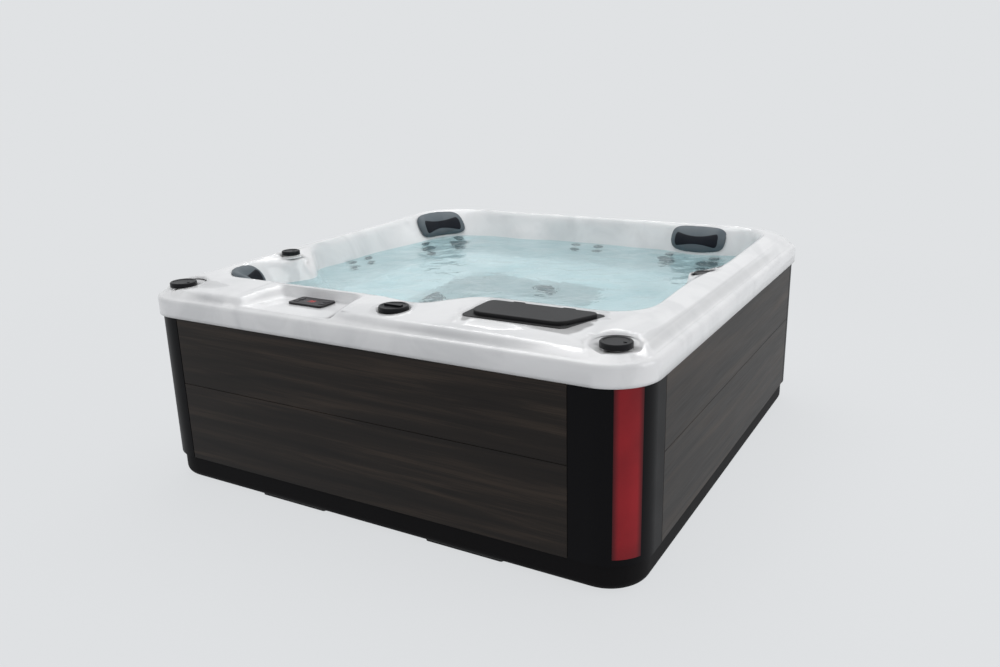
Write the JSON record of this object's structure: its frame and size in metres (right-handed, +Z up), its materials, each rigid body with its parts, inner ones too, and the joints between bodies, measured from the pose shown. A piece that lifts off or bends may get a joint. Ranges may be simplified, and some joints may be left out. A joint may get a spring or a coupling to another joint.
{
  "type": "hot tub",
  "caption": "Square free-standing hot tub: moulded white shell with seats, headrests, jets, hinged filter lid, control panel and turning knobs, in a wood-grain cabinet with a lit corner.",
  "frame": {"origin": "on the floor under the middle of the tub", "axes": "+Z up, -Y towards the side with the control panel, +X towards the filter end of that side"},
  "size_m": [2, 2, 0.798],
  "materials": {
    "foot_rubber": "matte",
    "pan_plastic": "matte",
    "frame_wood": "sawn",
    "board_wood": "wood-grain boards, satin",
    "cover_black": "satin",
    "acrylic": "gloss",
    "headrest_foam": "matte",
    "insert_dark": "satin",
    "peg_plastic": "matte",
    "red_lens": "clear red",
    "light_bar": "matte",
    "knob_plastic": "satin",
    "trim_plastic": "satin",
    "bezel_plastic": "satin",
    "display_glass": "gloss",
    "button_rubber": "matte",
    "jet_plastic": "satin",
    "lamp_lens": "clear",
    "pipe_plastic": "matte",
    "black_plastic": "matte",
    "motor_paint": "satin",
    "steel": "brushed",
    "cap_blue": "satin",
    "filter_cloth": "pleated",
    "foam_block": "foam"
  },
  "bodies": {
    "tub": {"foot_pads": "foot_rubber", "base_pan": "pan_plastic", "frame_posts": "frame_wood", "panel_rails": "frame_wood", "acrylic_shell": "acrylic", "headrest_pegs": "peg_plastic", "corner_light_lens": "red_lens", "corner_light_bar": "light_bar", "valve_bodies": "pipe_plastic", "filter_frame": "trim_plastic", "lid_hinge_pins": "steel", "filter_bucket": "pipe_plastic", "skimmer_grille": "trim_plastic", "filter_end_caps": "cap_blue", "filter_cartridges": "filter_cloth", "control_bezel": "bezel_plastic", "control_display": "display_glass", "jet_housings": "jet_plastic", "small_jets": "jet_plastic", "suction_covers": "jet_plastic", "footwell_light": "lamp_lens", "floor_drain": "jet_plastic", "footwell_support": "foam_block", "pump_motors": "motor_paint", "pump_wet_ends": "black_plastic", "control_box": "black_plastic", "heater_tube": "steel", "water_pipes": "pipe_plastic", "front_panel": "board_wood", "right_panel": "board_wood", "back_panel": "board_wood", "left_panel": "board_wood", "corner_cover_front_right": "cover_black", "corner_cover_back_right": "cover_black", "corner_cover_back_left": "cover_black", "corner_cover_front_left": "cover_black", "headrest_back_left": "headrest_foam", "headrest_insert_back_left": "insert_dark", "headrest_back_right": "headrest_foam", "headrest_insert_back_right": "insert_dark", "headrest_front_left": "headrest_foam", "headrest_insert_front_left": "insert_dark"},
    "air_knob_front_left": {"air_knob_front_left": "knob_plastic"},
    "air_knob_front_right": {"air_knob_front_right": "knob_plastic"},
    "air_knob_left": {"air_knob_left": "knob_plastic"},
    "air_knob_right": {"air_knob_right": "knob_plastic"},
    "diverter_knob": {"diverter_knob": "knob_plastic"},
    "filter_lid": {"filter_lid": "trim_plastic"},
    "control_button_front_left": {"control_button_front_left": "button_rubber"},
    "control_button_front_right": {"control_button_front_right": "button_rubber"},
    "control_button_back_left": {"control_button_back_left": "button_rubber"},
    "control_button_back_right": {"control_button_back_right": "button_rubber"},
    "jet_face_back_left_a": {"jet_face_back_left_a": "jet_plastic"},
    "jet_face_back_left_b": {"jet_face_back_left_b": "jet_plastic"},
    "jet_face_back_right_a": {"jet_face_back_right_a": "jet_plastic"},
    "jet_face_back_right_b": {"jet_face_back_right_b": "jet_plastic"},
    "jet_face_front_left_a": {"jet_face_front_left_a": "jet_plastic"},
    "jet_face_front_left_b": {"jet_face_front_left_b": "jet_plastic"},
    "jet_face_footwell_a": {"jet_face_footwell_a": "jet_plastic"},
    "jet_face_footwell_b": {"jet_face_footwell_b": "jet_plastic"}
  },
  "joints": [
    {"name": "air_knob_front_left_turn", "type": "hinge", "parent": "tub", "child": "air_knob_front_left", "pos_m": [-0.878, -0.89, 0.77], "axis": [0, 0, 1], "range_deg": [-90, 90]},
    {"name": "air_knob_front_right_turn", "type": "hinge", "parent": "tub", "child": "air_knob_front_right", "pos_m": [0.878, -0.89, 0.77], "axis": [0, 0, 1], "range_deg": [-90, 90]},
    {"name": "air_knob_left_turn", "type": "hinge", "parent": "tub", "child": "air_knob_left", "pos_m": [-0.848, -0.335, 0.785], "axis": [0, 0, 1], "range_deg": [-90, 90]},
    {"name": "air_knob_right_turn", "type": "hinge", "parent": "tub", "child": "air_knob_right", "pos_m": [0.838, 0.045, 0.765], "axis": [0, 0, 1], "range_deg": [-90, 90]},
    {"name": "diverter_knob_turn", "type": "hinge", "parent": "tub", "child": "diverter_knob", "pos_m": [0.085, -0.866, 0.78], "axis": [0, 0, 1], "range_deg": [-90, 90]},
    {"name": "filter_lid_hinge", "type": "hinge", "parent": "tub", "child": "filter_lid", "pos_m": [0.535, -0.666, 0.7838], "axis": [-1, 0, 0], "range_deg": [0, 100]},
    {"name": "control_button_front_left_press", "type": "slide", "parent": "tub", "child": "control_button_front_left", "axis": [0, 0, -1], "range_m": [0, 0.0012], "stiffness_N_per_m": 800},
    {"name": "control_button_front_right_press", "type": "slide", "parent": "tub", "child": "control_button_front_right", "axis": [0, 0, -1], "range_m": [0, 0.0012], "stiffness_N_per_m": 800},
    {"name": "control_button_back_left_press", "type": "slide", "parent": "tub", "child": "control_button_back_left", "axis": [0, 0, -1], "range_m": [0, 0.0012], "stiffness_N_per_m": 800},
    {"name": "control_button_back_right_press", "type": "slide", "parent": "tub", "child": "control_button_back_right", "axis": [0, 0, -1], "range_m": [0, 0.0012], "stiffness_N_per_m": 800},
    {"name": "jet_face_back_left_a_turn", "type": "hinge", "parent": "tub", "child": "jet_face_back_left_a", "pos_m": [-0.68528, 0.74814, 0.54065], "axis": [0.5836, -0.7451, 0.3228], "range_deg": [0, 120]},
    {"name": "jet_face_back_left_b_turn", "type": "hinge", "parent": "tub", "child": "jet_face_back_left_b", "pos_m": [-0.75513, 0.55856, 0.54061], "axis": [0.9424, -0.1412, 0.3032], "range_deg": [0, 120]},
    {"name": "jet_face_back_right_a_turn", "type": "hinge", "parent": "tub", "child": "jet_face_back_right_a", "pos_m": [0.63492, 0.77766, 0.54045], "axis": [0.2367, -0.9446, 0.2273], "range_deg": [0, 120]},
    {"name": "jet_face_back_right_b_turn", "type": "hinge", "parent": "tub", "child": "jet_face_back_right_b", "pos_m": [0.42515, 0.79834, 0.54046], "axis": [-0.2863, -0.9303, 0.2294], "range_deg": [0, 120]},
    {"name": "jet_face_front_left_a_turn", "type": "hinge", "parent": "tub", "child": "jet_face_front_left_a", "pos_m": [-0.7902, -0.52574, 0.54047], "axis": [0.9703, -0.0527, 0.2361], "range_deg": [0, 120]},
    {"name": "jet_face_front_left_b_turn", "type": "hinge", "parent": "tub", "child": "jet_face_front_left_b", "pos_m": [-0.67069, -0.65584, 0.54051], "axis": [0.0523, 0.9658, 0.2538], "range_deg": [0, 120]},
    {"name": "jet_face_footwell_a_turn", "type": "hinge", "parent": "tub", "child": "jet_face_footwell_a", "pos_m": [0.31175, -0.07721, 0.21018], "axis": [-0.9961, -0.0002, 0.0879], "range_deg": [0, 120]},
    {"name": "jet_face_footwell_b_turn", "type": "hinge", "parent": "tub", "child": "jet_face_footwell_b", "pos_m": [0.31213, 0.04466, 0.21019], "axis": [-0.9953, 0.0056, 0.0965], "range_deg": [0, 120]}
  ]
}
